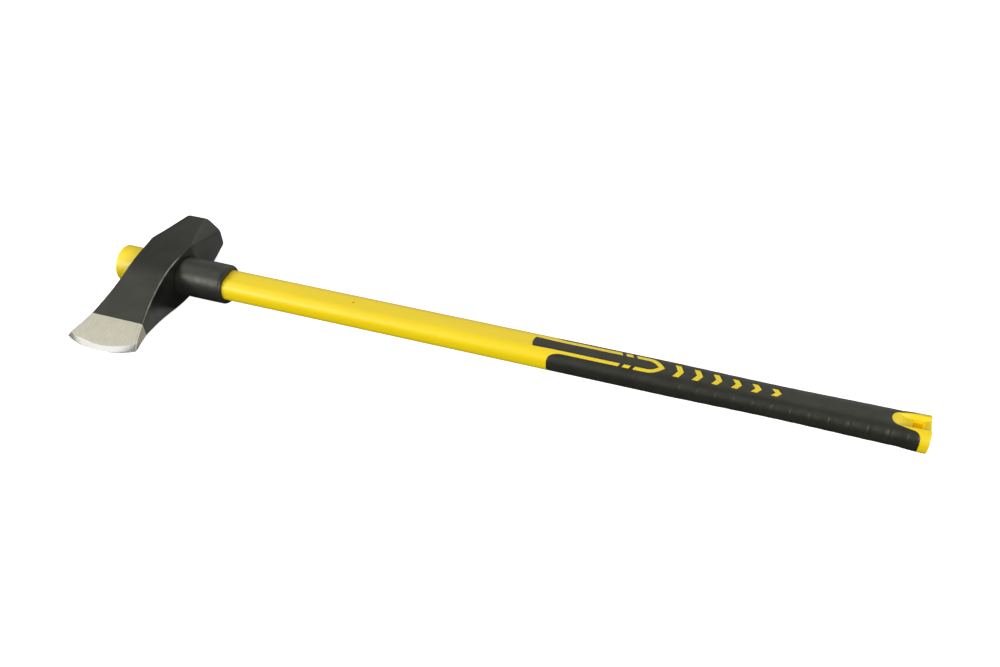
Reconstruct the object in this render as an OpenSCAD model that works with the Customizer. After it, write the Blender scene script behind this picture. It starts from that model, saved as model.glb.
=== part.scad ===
// Splitting maul with a moulded fibreglass handle, lying flat on one cheek of its head.
// The handle runs along +X towards the butt, the striking face looks along +Y, the cutting
// edge along -Y, and +Z is up. The shapes are drawn about the handle's axis, with the middle
// of the eye at zero, and in_place() moves them so that the origin is the bottom centre of
// the bounding box.

/* [Handle] */
// Length from the end of the tenon to the butt
overall_length = 902.4; // [890:0.4:910]
// Width of the shaft, across the plane of the blade
shaft_w = 36.6; // [35:0.2:38]
// Thickness of the shaft, from cheek to cheek
shaft_t = 27.2; // [26:0.2:29]
// Corner radius of the shaft's section
shaft_r = 11.8; // [9:0.2:12.5]
// Radius of the round tenon where it ends, beyond the head
tenon_end_r = 21.8; // [21.4:0.1:22.2]
// Radius of the round tenon where it meets the shaft, inside the collar
tenon_neck_r = 20.4; // [20:0.1:21]
// Distance from the middle of the eye to the tenon's end
tenon_reach = 55.2; // [50:0.4:58]
// Radius of the fibreglass rod inside the handle
core_r = 9.5; // [7:0.5:10.5]

/* [Head] */
// Distance from the handle's axis to the striking face
poll_reach = 78.6; // [70:0.2:85]
// Width of the poll, along the handle
poll_w = 54.4; // [52:0.2:56]
// Thickness of the poll at the striking face
poll_t = 49.6; // [46:0.2:52]
// Width of the striking face's top and bottom flats
poll_flat_w = 27; // [20:0.5:34]
// Height of the striking face's side flats
poll_flat_t = 20.8; // [16:0.2:26]
// Distance from the axis to where the poll's four chamfers end
chamfer_reach = 20; // [16:0.5:24]
// Thickness between the flat cheeks, over the eye
cheek_t = 56.8; // [56:0.2:60]
// Narrowest width of the head, along the handle
waist_w = 49.8; // [49:0.2:51]
// Distance from the axis to that waist, towards the edge
waist_reach = 30; // [26:1:34]
// Radius of the hollow between the poll and the waist
neck_r = 540; // [500:10:700]
// Radius of the flare from the waist to the corners of the bit
flare_r = 270; // [255:5:300]
// Distance from the axis to the middle of the cutting edge
edge_reach = 141; // [136:0.5:145]
// Radius of the curved cutting edge
edge_r = 88; // [82:1:100]
// Distance from the axis to the line where the paint stops and the ground bit begins
paint_reach = 97; // [94:1:100]
// Thickness of the head at that line
bit_t = 17.4; // [16:0.2:19]
// Slope of the painted wedge faces
wedge_slope = 0.26; // [0.24:0.005:0.28]
// Slope of the ground bit's faces
bit_slope = 0.18; // [0.16:0.005:0.185]
// Radius that blends the flat cheeks into the wedge faces
cheek_blend_r = 140; // [100:5:150]
// Width of the honed bevel behind the cutting edge
bevel_l = 7.4; // [6:0.1:9]
// Thickness of the blunt cutting edge
edge_t = 0.8; // [0.6:0.1:1.2]
// Thickness of the resin between the tenon and the eye
resin_t = 0.6; // [0.5:0.1:1]

/* [Collar] */
// Distance from the middle of the eye to the collar's end against the head
collar_start = 27.4; // [27.3:0.1:28]
// Length of the rubber collar
collar_l = 57; // [50:0.2:60]
// Outer radius of the rubber collar
collar_r = 22.8; // [22.4:0.1:24]
// Rounding of the collar's rims
collar_round = 3.6; // [1.5:0.1:4]

/* [Grip] */
// Wall of the rubber grip
grip_wall = 2; // [1.6:0.1:2.4]
// Distance from the middle of the eye to the front of the grip's middle strip
strip_start = 450.6; // [445:0.2:456]
// Half width of the middle strip
strip_half = 6.2; // [5.5:0.1:7]
// Distance from the middle of the eye to the front of the grip's side panels
panel_start = 470; // [466:1:474]
// Half distance between the side panels, over the yellow lines
panel_gap_half = 10.3; // [9.5:0.1:11]
// Depth of the waist in the middle of the grip, each side
grip_waist = 0.9; // [0.5:0.1:1.2]
// Flare of the butt, each side
butt_flare = 1.1; // [0.6:0.1:1.4]
// Number of arrow marks
arrows = 6; // [3:1:6]
// Distance between arrow marks
arrow_pitch = 19.4; // [18:0.2:20]
// Number of cross grooves on each narrow side
grooves = 13; // [10:1:13]
// Distance between cross grooves
groove_pitch = 18.2; // [17:0.1:18.4]

/* [Butt] */
// Length of the hang slot, along the handle
slot_l = 10.8; // [9:0.2:12]
// Width of the hang slot
slot_w = 10.4; // [6:0.2:11]
// Thickness of the bar that closes the hang slot
slot_bar = 6.2; // [5:0.2:8]
// Half width of the scoop around the hang slot
scoop_half = 7.6; // [6.5:0.1:8]
// Height of the scoop's floor above the handle's middle plane
scoop_floor = 9.2; // [7:0.1:10]
// Rise of the scoop's floor from the slot to the butt's end
scoop_rise = 2.6; // [0:0.1:3]

/* [Hidden] */
$fn = 64;

butt_x = overall_length - tenon_reach;
edge_centre_y = -(edge_reach - edge_r);
poll_half_w = poll_w / 2;
cheek_half = cheek_t / 2;
waist_half = waist_w / 2;
wide = 100;        // Half width that is larger than the head
tall = 80;         // Height that is larger than the handle and the head
overrun = 5;       // How far a cut or a trimmed shape runs on past what it meets
arc_steps = 8;     // Facets on an outline's rounded corner

// Moves a shape from the handle's axis to the part's own frame
module in_place() {
    translate([
        tenon_reach - overall_length / 2,
        (edge_reach - poll_reach) / 2,
        cheek_half
    ])
        children();
}

// Both of a pair of shapes that mirror each other across the plane normal to v
module both(v) {
    children();
    mirror(v) children();
}

// Points on an arc about c from angle a0 to a1
function arc(c, r, a0, a1, n = arc_steps) =
    [for (i = [0:n]) let (a = a0 + (a1 - a0) * i / n) c + r * [cos(a), sin(a)]];

// The same list of points mirrored in the x axis, in reverse order
function mirrored(points) =
    [for (i = [len(points) - 1:-1:0]) [points[i][0], -points[i][1]]];

// ---- Head ----

// Half thickness of the head on the painted wedge faces and on the ground bit, at y
function wedge_half(y) = bit_t / 2 + wedge_slope * (y + paint_reach);
function bit_half(y) = bit_t / 2 + bit_slope * (y + paint_reach);

// One side of the head's outline seen from above the cheek: the straight poll, the hollow
// neck down to the waist, and the flare of the bit, which runs on past the cutting edge
neck_angle = acos(1 - (poll_half_w - waist_half) / neck_r);
neck_steps = 5;
flare_angle = asin((edge_reach + overrun - waist_reach) / flare_r);
flare_steps = 9;
function side_outline() = concat(
    [[poll_half_w, poll_reach + overrun]],
    arc([waist_half + neck_r, -waist_reach], neck_r, 180 - neck_angle, 180, neck_steps),
    [for (i = [1:flare_steps]) let (a = 180 + flare_angle * i / flare_steps)
        [waist_half + flare_r * (1 + cos(a)), -waist_reach + flare_r * sin(a)]]
);

// The prism that trims the wedge and the bit to that outline
module head_sides() {
    left = [for (i = [len(side_outline()) - 1:-1:0]) [-side_outline()[i][0], side_outline()[i][1]]];
    linear_extrude(height = tall, center = true)
        polygon(concat(side_outline(), left));
}

// Side profile of one half of the wedge, from the striking face to a nose inside the bit
wedge_angle = atan(wedge_slope);
blend_tangent = cheek_blend_r * tan(wedge_angle / 2);
blend_corner_y = (cheek_half - bit_t / 2) / wedge_slope - paint_reach;
nose_y = -paint_reach - 12; // Where the wedge's faces end, hidden inside the bit
function upper_profile() = concat(
    [[poll_reach, poll_t / 2], [chamfer_reach, cheek_half]],
    arc([blend_corner_y + blend_tangent, cheek_half - cheek_blend_r],
        cheek_blend_r, 90, 90 + wedge_angle),
    [[nose_y, wedge_half(nose_y)]]
);

// The wedge of the head as a prism along the handle
module head_wedge() {
    rotate([90, 0, 90])
        linear_extrude(height = 2 * wide, center = true)
            polygon(concat(upper_profile(), mirrored(upper_profile())));
}

bevel_cols = 16;   // Facets across the honed bevel
bevel_angle = 40;  // Angle that the bevel turns each way, past the corners of the bit
root_spread = 1.3; // How much wider than the edge the bit's root is drawn

// The ground bit: flat faces that leave the wedge at the paint line, then the honed bevel
module bit() {
    root_y = -paint_reach + 7; // Hidden inside the wedge
    // A row of points across the head at radius r from the edge's centre
    function across(r) = [for (i = [0:bevel_cols])
        let (a = bevel_angle * (2 * i / bevel_cols - 1)) [r * sin(a), edge_centre_y - r * cos(a)]];
    bevel_row = across(edge_r - bevel_l);
    edge_row = across(edge_r);
    n = len(edge_row);
    function half_rows(s) = concat(
        [for (p = edge_row) [p[0] * root_spread, root_y, s * bit_half(root_y)]],
        [for (p = bevel_row) [p[0], p[1], s * bit_half(p[1])]],
        [for (p = edge_row) [p[0], p[1], s * edge_t / 2]]
    );
    skin = [for (row = [0, 1], i = [0:n - 2])
        [row * n + i, row * n + i + 1, (row + 1) * n + i + 1, (row + 1) * n + i]];
    lower = [3 * n, 3 * n, 3 * n];
    halves = concat(
        [for (f = skin, t = [0, 1]) [f[0], f[t + 1], f[t + 2]]],
        [for (f = skin, t = [0, 1]) [f[0], f[t + 2], f[t + 1]] + lower]
    );
    back = [for (i = [0:n - 2]) [i, 3 * n + i, 3 * n + i + 1, i + 1]];
    front = [for (i = [0:n - 2]) [2 * n + i, 2 * n + i + 1, 5 * n + i + 1, 5 * n + i]];
    ends = [for (row = [0, 1], f = [
        [row * n, (row + 1) * n, (row + 4) * n, (row + 3) * n],
        [(row + 1) * n - 1, (row + 4) * n - 1, (row + 5) * n - 1, (row + 2) * n - 1]
    ]) f];
    polyhedron(
        concat(half_rows(1), half_rows(-1)),
        concat(halves, back, front, ends),
        convexity = 4
    );
}

// A block whose near face is the plane through p with outward normal v
module beyond(p, v) {
    translate(p)
        rotate([0, acos(v[2] / norm(v)), atan2(v[1], v[0])])
            translate([-tall, -tall, 0])
                cube(2 * tall);
}

// One of the poll's four chamfers, as the block that it takes away
module poll_chamfer() {
    a = [poll_flat_w / 2, poll_reach, poll_t / 2];
    b = [poll_half_w, poll_reach, poll_flat_t / 2];
    run = 0.98; // Share of the way to chamfer_reach at which the chamfer meets the corner
    c = [
        poll_half_w,
        poll_reach + run * (chamfer_reach - poll_reach),
        poll_t / 2 + run * (cheek_half - poll_t / 2)
    ];
    beyond(a, cross(c - a, b - a));
}

neck_end = 48;     // Where the round tenon gives way to the shaft, inside the collar
form_overlap = 2;  // How far the shaft and the tenon run into each other there
eye_half_l = 24.4; // Half length of the resin, just inside the head's sides

// Radius of the tenon at x, larger towards its end
function tenon_r_at(x) =
    tenon_neck_r + (tenon_end_r - tenon_neck_r) * (neck_end - x) / (neck_end + tenon_reach);

// The tenon's form from x0 to x1, made larger by extra
module tapered_round(x0, x1, extra) {
    translate([x0, 0, 0])
        rotate([0, 90, 0])
            cylinder(h = x1 - x0, r1 = tenon_r_at(x0) + extra, r2 = tenon_r_at(x1) + extra);
}

module head() {
    color([0.2, 0.2, 0.19])
        in_place()
            difference() {
                intersection() {
                    union() {
                        head_wedge();
                        bit();
                    }
                    head_sides();
                }
                both([1, 0, 0]) both([0, 0, 1]) poll_chamfer();
                tapered_round(-poll_w, poll_w, resin_t);
            }
}

module eye_resin() {
    color([0.72, 0.66, 0.48])
        in_place()
            difference() {
                tapered_round(-eye_half_l, eye_half_l, resin_t);
                tapered_round(-eye_half_l - 1, eye_half_l + 1, 0);
            }
}

// ---- Handle ----

slot_start = butt_x - slot_bar - slot_l;
core_start = -tenon_reach + 5; // The rod stops inside the tenon and before the scoops
core_end = slot_start - 18;

module core_rod() {
    color([0.85, 0.87, 0.78])
        in_place()
            translate([core_start, 0, 0])
                rotate([0, 90, 0])
                    cylinder(h = core_end - core_start, r = core_r);
}

// How far the section stands out from the plain shaft's at x: a waist in the grip, then the
// flared butt
waist_start = 590;
waist_end = 820;
waist_steps = 8;
butt_steps = 3;
corner_steps = 6; // Facets on each corner of the section
function growth(x) =
    x < waist_start ? 0 :
    x < waist_end ? -grip_waist * pow(sin(180 * (x - waist_start) / (waist_end - waist_start)), 2) :
    butt_flare * sin(90 * (x - waist_end) / (butt_x - waist_end));

// The section at x, a rectangle with round corners, drawn in by inset
function form_ring(x, inset) =
    let (g = growth(x) - inset, r = shaft_r + g)
    [for (q = [0:3], i = [0:corner_steps])
        let (
            a = 90 * q + 90 * i / corner_steps,
            sy = q == 0 || q == 3 ? 1 : -1,
            sz = q < 2 ? 1 : -1
        )
        [
            x,
            sy * (shaft_w / 2 - shaft_r) + r * cos(a),
            sz * (shaft_t / 2 - shaft_r) + r * sin(a)
        ]];

// The handle's form behind the tenon, from x_start to x_end
module handle_form(inset, x_start, x_end) {
    bends = concat(
        [for (i = [0:waist_steps]) waist_start + (waist_end - waist_start) * i / waist_steps],
        [for (i = [1:butt_steps - 1]) waist_end + (butt_x - waist_end) * i / butt_steps]
    );
    stations = concat([x_start], [for (x = bends) if (x < x_end) x], [x_end]);
    k = 4 * (corner_steps + 1);
    m = len(stations);
    points = [for (x = stations, p = form_ring(x, inset)) p];
    sides = [for (s = [0:m - 2], i = [0:k - 1])
        let (j = (i + 1) % k, lo = s * k, hi = lo + k)
        [[lo + i, hi + j, lo + j], [lo + i, hi + i, hi + j]]];
    polyhedron(
        points,
        concat(
            [for (pair = sides, f = pair) f],
            [[for (i = [0:k - 1]) i]],
            [[for (i = [k - 1:-1:0]) (m - 1) * k + i]]
        ),
        convexity = 4
    );
}

form_start = 440;      // A place on the shaft in front of the grip
beyond_side = 30;      // Half width that is larger than the grip
dash_end = 546;        // Where the yellow line beside the strip ends
mark_gap = 3.9;        // Gap between the line, the short bar and the hoop
dash_l = 7.4;          // Length of the short bar
mark_slant = 1.8;      // How far the ends of the line and the bar slant
band_x = butt_x - 9.2; // Where the side panels end and the butt's yellow band begins

// Half of the edge of the grip's black area, seen from above, in three stretches. The first
// runs round the front of the middle strip and along it to the end of the yellow line.
strip_bulge = 1;     // How far the middle of the strip's front stands out
strip_corner_r = 1.3;
strip_widening = 0.7; // How much wider the strip is at its front
widening_l = 22;     // Length over which that fades out
function strip_edge() =
    let (
        flat = strip_half + strip_widening - strip_corner_r,
        centre_x = strip_start + strip_bulge + strip_corner_r
    )
    concat(
        [[strip_start, 0]],
        arc([centre_x, flat], strip_corner_r, 180, 90, 4),
        [[strip_start + widening_l, strip_half], [dash_end, strip_half]]
    );

// The second runs round the long front corner of a side panel
panel_corner_l = 16;
function panel_edge() = let (rise = shaft_w / 2 - panel_gap_half) concat(
    [[dash_end - mark_slant, panel_gap_half]],
    [for (i = [arc_steps:-1:0]) let (a = 90 * i / arc_steps) [
        panel_start + panel_corner_l * (1 - cos(a)),
        shaft_w / 2 - rise * sin(a)
    ]],
    [[panel_start, beyond_side]]
);

// The third runs round the heel of a side panel and the butt's yellow tongue
tongue_l = 36.6;    // From the tongue's tip to the butt
tongue_tip_r = 8.6;
heel_half = 11.2;   // Half width of the tongue where the heel begins
heel_l = 9;
heel_w = 8.2;
tongue_from = 98;   // Angle at which the tip's arc leaves the straight side
tongue_to = 170;    // Angle at which it meets the tongue's own middle
function tongue_edge() = let (tip_x = butt_x - tongue_l) concat(
    [[band_x, beyond_side]],
    [for (i = [0:arc_steps]) let (a = 90 * i / arc_steps) [
        band_x - heel_l * (1 - cos(a)),
        heel_half + heel_w * (1 - sin(a))
    ]],
    arc([tip_x + tongue_tip_r, 0], tongue_tip_r, tongue_from, tongue_to),
    [[tip_x, 0]]
);

module black_area() {
    half = concat(strip_edge(), panel_edge(), tongue_edge());
    inner = [for (i = [1:len(half) - 2]) half[i]];
    polygon(concat(half, mirrored(inner)));
}

// ---- Yellow marks that show through the grip ----

// A short bar in line with the yellow line, from x0 to x1, with slanted ends
module slanted_bar(x0, x1) {
    polygon([
        [x0, strip_half], [x1, strip_half],
        [x1 - mark_slant, panel_gap_half], [x0 - mark_slant, panel_gap_half]
    ]);
}

// The pointed hoop that closes the pair of lines
hoop_bend = 572;     // Where its straight arms begin to close
hoop_tip = 590.8;
hoop_inner_tip = 584.4;
hoop_power = 2.4;    // How full its two arches are
module hoop(x0) {
    function arch(half, end) = [for (i = [0:arc_steps])
        let (u = i / arc_steps)
        [hoop_bend + (end - hoop_bend) * u, half * (1 - pow(u, hoop_power))]];
    outer = concat([[x0 - mark_slant, panel_gap_half]], arch(panel_gap_half, hoop_tip));
    inner = concat([[x0, strip_half]], arch(strip_half, hoop_inner_tip));
    both([0, 1])
        polygon(concat(outer, [for (i = [len(inner) - 1:-1:0]) inner[i]]));
}

arrow_arm = 6.3;       // Length of an arrow mark's arms, along the handle
arrow_sweep = 4;       // How far its arms are swept back
first_arrow = 610.2;
first_arrow_half = 8.2;
last_arrow_half = 4.9;

// One arrow mark with its outer point at x, of the given half height
module arrow(x, half) {
    back = x - arrow_sweep;
    polygon([
        [x, 0], [back, half], [back - arrow_arm, half],
        [x - arrow_arm, 0], [back - arrow_arm, -half], [back, -half]
    ]);
}

// The row of arrow marks, each smaller than the one before
module arrow_row() {
    shrink = (first_arrow_half - last_arrow_half) / (arrows - 1);
    for (i = [0:arrows - 1])
        arrow(first_arrow + arrow_pitch * i, first_arrow_half - shrink * i);
}

// Everything black on the grip, as seen from above
module black_outline() {
    difference() {
        black_area();
        both([0, 1]) slanted_bar(dash_end + mark_gap, dash_end + mark_gap + dash_l);
        hoop(dash_end + 2 * mark_gap + dash_l);
        arrow_row();
    }
}

// The space that the rubber grip fills, over the jacket's core
module grip_space() {
    difference() {
        linear_extrude(height = tall, center = true) black_outline();
        handle_form(grip_wall, form_start, butt_x + overrun);
    }
}

groove_start = 609.6;
groove_w = 1;
groove_depth = 0.5;
groove_h = 12;

// Fine cross grooves on the narrow sides of the grip
module side_grooves() {
    both([0, 1, 0])
        for (i = [0:grooves - 1])
            let (x = groove_start + groove_pitch * i)
            translate([
                x - groove_w / 2,
                shaft_w / 2 + growth(x) - groove_depth,
                -groove_h / 2
            ])
                cube([groove_w, overrun, groove_h]);
}

ramp_start = butt_x - 32;
ramp_end = slot_start - 2;
ramp_step = 0.4; // Small step down at the start of the ramp

// The scoop on one face of the butt: its floor ramps down to the hang slot and runs out
module scoop() {
    beyond_butt = butt_x + overrun;
    end_floor = scoop_floor + scoop_rise;
    translate([0, scoop_half, 0])
        rotate([90, 0, 0])
            linear_extrude(height = 2 * scoop_half)
                polygon([
                    [ramp_start, shaft_t], [ramp_start, shaft_t / 2 - ramp_step],
                    [ramp_end, scoop_floor], [slot_start + slot_l, scoop_floor],
                    [butt_x, end_floor], [beyond_butt, end_floor], [beyond_butt, shaft_t]
                ]);
}

// The slot for hanging the maul up, through both scoops
module hang_slot() {
    translate([slot_start, -slot_w / 2, -tall / 2])
        cube([slot_l, slot_w, tall]);
}

pin_x = 242.6;
pin_r = 1.5;

// Round marks left by the pins that held the rod in the mould, one on each broad face
module pin_marks() {
    both([0, 0, 1])
        translate([pin_x, 0, core_r / 2])
            cylinder(h = shaft_t, r = pin_r);
}

module handle_jacket() {
    color([0.93, 0.82, 0.2])
        in_place()
            difference() {
                union() {
                    tapered_round(-tenon_reach, neck_end, 0);
                    handle_form(0, neck_end - form_overlap, butt_x);
                }
                grip_space();
                translate([core_start, 0, 0])
                    rotate([0, 90, 0])
                        cylinder(h = core_end - core_start, r = core_r);
                pin_marks();
                both([0, 0, 1]) scoop();
                hang_slot();
            }
}

// ---- Rubber ----

root_round = 1; // Rounding of the collar's rim against the head

module collar() {
    far = collar_start + collar_l;
    color([0.13, 0.13, 0.13])
        in_place()
            difference() {
                rotate([0, 90, 0])
                    rotate_extrude($fn = 96)
                        polygon(concat(
                            [[0, collar_start]],
                            arc([collar_r - root_round, collar_start + root_round],
                                root_round, -90, 0, 4),
                            arc([collar_r - collar_round, far - collar_round],
                                collar_round, 0, 90),
                            [[0, far]]
                        ));
                tapered_round(collar_start - 1, neck_end, 0);
                handle_form(0, neck_end - form_overlap, far + overrun);
            }
}

module grip() {
    color([0.2, 0.2, 0.19])
        in_place()
            difference() {
                intersection() {
                    handle_form(0, form_start, butt_x);
                    grip_space();
                }
                side_grooves();
            }
}

head();
eye_resin();
core_rod();
handle_jacket();
collar();
grip();
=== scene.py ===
"""Looks of a splitting maul that lies on one cheek of its head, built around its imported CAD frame.

Shapes are worked out in millimetres about the handle's axis: +X runs from the eye to the butt, +Y to
the striking face and +Z up, with zero in the middle of the eye. in_frame() turns them into metres in
the shared frame. The handle has the same outline on all four quarters, so one quarter is meshed as a
flat sheet, with x along the handle and v round its section, and the quarter is mirrored.
"""

import math

import bmesh
import bpy
import numpy as np
from mathutils import Matrix, Vector
from mathutils.geometry import delaunay_2d_cdt


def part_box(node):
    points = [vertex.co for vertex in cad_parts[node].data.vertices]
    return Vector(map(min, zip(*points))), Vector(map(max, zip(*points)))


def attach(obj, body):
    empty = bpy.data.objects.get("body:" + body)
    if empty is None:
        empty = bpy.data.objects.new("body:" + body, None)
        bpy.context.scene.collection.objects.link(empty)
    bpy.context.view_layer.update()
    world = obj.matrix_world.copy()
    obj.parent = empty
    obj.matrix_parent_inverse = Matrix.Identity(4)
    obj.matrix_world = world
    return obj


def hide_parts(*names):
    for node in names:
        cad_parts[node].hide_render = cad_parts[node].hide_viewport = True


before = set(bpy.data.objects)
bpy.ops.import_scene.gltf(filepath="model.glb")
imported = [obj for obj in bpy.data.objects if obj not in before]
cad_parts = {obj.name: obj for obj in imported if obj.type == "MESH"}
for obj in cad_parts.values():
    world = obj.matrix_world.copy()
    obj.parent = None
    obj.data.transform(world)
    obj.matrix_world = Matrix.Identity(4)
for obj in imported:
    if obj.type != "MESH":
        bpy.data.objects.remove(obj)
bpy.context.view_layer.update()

# ---- Sizes, in millimetres ----

MM = 0.001

TENON_REACH = 55.2      # From the middle of the eye to the tenon's end
TENON_END_R = 21.8
TENON_NECK_R = 20.4
NECK_END = 48.0         # Where the tenon's taper ends, inside the collar
NECK = NECK_END - 4     # Where the round tenon starts to turn into the shaft
BUTT_X = 847.2

SHAFT_HALF_W = 18.3
SHAFT_HALF_T = 13.6
SHAFT_R = 11.8          # Corner radius of the shaft's section
FLAT_W = SHAFT_HALF_W - SHAFT_R
FLAT_T = SHAFT_HALF_T - SHAFT_R

POLL_REACH = 78.6
POLL_HALF_W = 27.2
POLL_HALF_T = 24.8
POLL_FLAT_HALF_W = 13.5
POLL_FLAT_HALF_T = 10.4
CHAMFER_REACH = 20.0
CHEEK_HALF = 28.4
WAIST_HALF = 24.9
WAIST_REACH = 30.0
NECK_R = 540.0
FLARE_R = 270.0
EDGE_R = 88.0
EDGE_CENTRE_Y = -53.0
PAINT_REACH = 97.0
BIT_HALF = 8.7
WEDGE_SLOPE = 0.26
BIT_SLOPE = 0.18
BLEND_R = 140.0
BEVEL_L = 7.4
BEVEL_FAR_L = 4.2       # Width of the honed bevel at the corner on the tenon's side
NARROW_FROM = 16.0      # Where it starts to narrow, on that side of the eye
NARROW_OVER = 26.0
EDGE_HALF_T = 0.4
RESIN_T = 0.6

COLLAR_START = 27.4
COLLAR_END = 84.4
COLLAR_R = 22.8
COLLAR_ROUND = 3.6      # Rounding of the collar's free end
ROOT_ROUND = 0.8        # Rounding against the head
COLLAR_FOLLOW = 9.0     # Stretch over which its rings stop following the head's side
FIT = 0.05              # Gap between a round or recessed surface and the rubber on it
SEAL = 0.12             # Gap between the shaft and the collar

GRIP_WALL = 2.0
STRIP_START = 450.6
STRIP_HALF = 6.2
PANEL_START = 470.0
PANEL_GAP_HALF = 10.3
DASH_END = 546.0
SLANT = 1.8             # Slant of the bar's and the hoop's ends
BAND_X = BUTT_X - 9.2
WAIST_FROM, WAIST_TO, GRIP_WAIST, BUTT_FLARE = 590.0, 820.0, 0.9, 1.1

SLOT_FROM, SLOT_TO, SLOT_HALF = 830.2, 841.0, 5.2
SLOT_ROUND = 0.7        # Rounding of the slot's rim, and of its corners in the plan
SCOOP_HALF, SCOOP_FLOOR, SCOOP_FROM, SCOOP_LEVEL = 7.6, 9.2, 813.0, 828.2
SCOOP_WALL = 2.6        # Width over which the scoop's walls slope down
SCOOP_RISE = 2.6        # Rise of the scoop's floor from the slot to the butt's end

handle_low, handle_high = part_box("handle_jacket")
eye_middle = Vector((
    handle_low.x + TENON_REACH * MM,
    (handle_low.y + handle_high.y) / 2,
    (handle_low.z + handle_high.z) / 2,
))


def in_frame(points):
    """Points about the handle's axis, in millimetres, as points in the shared frame, in metres."""
    return np.asarray(points, float) * MM + np.array(eye_middle)


# ---- Mesh tools ----


class Skin:
    """Patches of faces that are welded into one mesh. Each patch is repeated in every mirror."""

    def __init__(self, mirrors=((1, 1, 1),)):
        self.mirrors = mirrors
        self.points, self.faces, self.finishes = [], [], []

    def add(self, points, faces, finish=0):
        """Faces over a list of points, each face a tuple of places in the list."""
        for mirror in self.mirrors:
            start = len(self.points)
            self.points += [tuple(p) for p in np.asarray(points, float) * mirror]
            self.faces += [tuple(start + i for i in f) for f in faces]
            self.finishes += [finish] * len(faces)

    def grid(self, rows, finish=0):
        """A grid of quads over rows of points, all rows the same length."""
        rows = np.asarray(rows, float)
        m, n = rows.shape[:2]
        faces = [
            (i * n + j, i * n + j + 1, (i + 1) * n + j + 1, (i + 1) * n + j)
            for i in range(m - 1) for j in range(n - 1)
        ]
        self.add(rows.reshape(-1, 3), faces, finish)

    def build(self, name, materials, sharp_deg=30, cap_x=None):
        """The welded mesh as an object. cap_x closes the open loop in the plane x = cap_x."""
        bm = bmesh.new()
        verts = [bm.verts.new(p) for p in in_frame(self.points)]
        for f, finish in zip(self.faces, self.finishes):
            face = bm.faces.new([verts[i] for i in f])
            face.material_index = finish
        bmesh.ops.remove_doubles(bm, verts=bm.verts, dist=2e-7)
        bmesh.ops.dissolve_degenerate(bm, edges=bm.edges, dist=1e-7)
        if cap_x is not None:
            x = in_frame([cap_x, 0, 0])[0]
            rim = [e for e in bm.edges if e.is_boundary and abs(e.verts[0].co.x - x) < 1e-6]
            cap = bmesh.ops.edgeloop_fill(bm, edges=rim)["faces"]
            bmesh.ops.triangulate(bm, faces=cap)
        bmesh.ops.recalc_face_normals(bm, faces=bm.faces)
        open_edges = sum(not e.is_manifold for e in bm.edges)
        mesh = bpy.data.meshes.new(name)
        bm.to_mesh(mesh)
        bm.free()
        print(f"{name}: {len(mesh.polygons)} faces, {open_edges} edges not closed")
        mesh.shade_smooth()
        mesh.set_sharp_from_angle(angle=math.radians(sharp_deg))
        for m in materials:
            mesh.materials.append(m)
        piece = bpy.data.objects.new(name, mesh)
        bpy.context.scene.collection.objects.link(piece)
        return piece


def steps(start, end, n):
    """n + 1 values evenly from start to end."""
    return [start + (end - start) * i / n for i in range(n + 1)]


def clamp(t):
    """t, held between 0 and 1."""
    return max(0.0, min(1.0, t))


def smooth(t):
    """0 below t = 0 and 1 above t = 1, with a soft start and end."""
    t = np.clip(t, 0, 1)
    return t * t * (3 - 2 * t)


def arc(cx, cy, r, a0, a1, n):
    """n + 1 points on an arc, from angle a0 to a1 in degrees."""
    return [(cx + r * math.cos(math.radians(a)), cy + r * math.sin(math.radians(a)))
            for a in steps(a0, a1, n)]


def place(piece, node):
    """A new piece that stands for a CAD node."""
    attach(piece, "root")
    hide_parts(node)


# ---- Head ----

WEDGE_ANGLE = math.atan(WEDGE_SLOPE)
BLEND_CORNER_Y = (CHEEK_HALF - BIT_HALF) / WEDGE_SLOPE - PAINT_REACH
BLEND_FROM = BLEND_CORNER_Y + BLEND_R * math.tan(WEDGE_ANGLE / 2)
BLEND_TO = BLEND_FROM - BLEND_R * math.sin(WEDGE_ANGLE)
CHEEK_CUT = 0.76        # Least chamfer of the head's edges, which the rounding takes up
BIT_CUT = 1.15          # The same on the ground bit
CUT_GROWS = 17.0        # Stretch in front of the bit over which it grows from one to the other
WEAR_HIGHLIGHT_BAND = CHEEK_CUT + 0.2     # How near to an edge the paint is rubbed thin and lightened by a painted highlight
WEAR_HIGHLIGHT_FROM = 8.0         # Where the wear and the painted highlight start to grow, on the way to the bit
WEAR_HIGHLIGHT_OVER = 26.0
WEAR_HIGHLIGHT_END = -128.0
SOFT_R = 9.0            # Rounding of the poll's creases
FACE_R = 1.3            # Rounding round the striking face
FACE_CROWN = 0.2        # How far the middle of the striking face stands out
SUPPORT = 0.5           # Width of the narrow faces beside a rounding

PAINT, STEEL, HONED = 0, 1, 2   # Finishes of the head

TOP_STEPS = 12          # Faces across half a cheek
CORNER_STEPS = 3        # Faces round each of an edge's two bends
SIDE_STEPS = 5          # Faces over half a side
EYE_BLOCK = 26.0        # Half length of the part of the side that holds the eye
EYE_ROUND = 0.6         # Rounding of the eye's mouth


def head_half_w(y):
    """Half width of the head along the handle: straight poll, hollow neck, waist and flare."""
    away = y + WAIST_REACH
    if away < 0:
        return WAIST_HALF + FLARE_R - math.sqrt(FLARE_R**2 - away**2)
    return min(WAIST_HALF + NECK_R - math.sqrt(NECK_R**2 - away**2), POLL_HALF_W)


def bit_half(y):
    """Half thickness of the ground bit at y."""
    return BIT_HALF + BIT_SLOPE * (y + PAINT_REACH)


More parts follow.
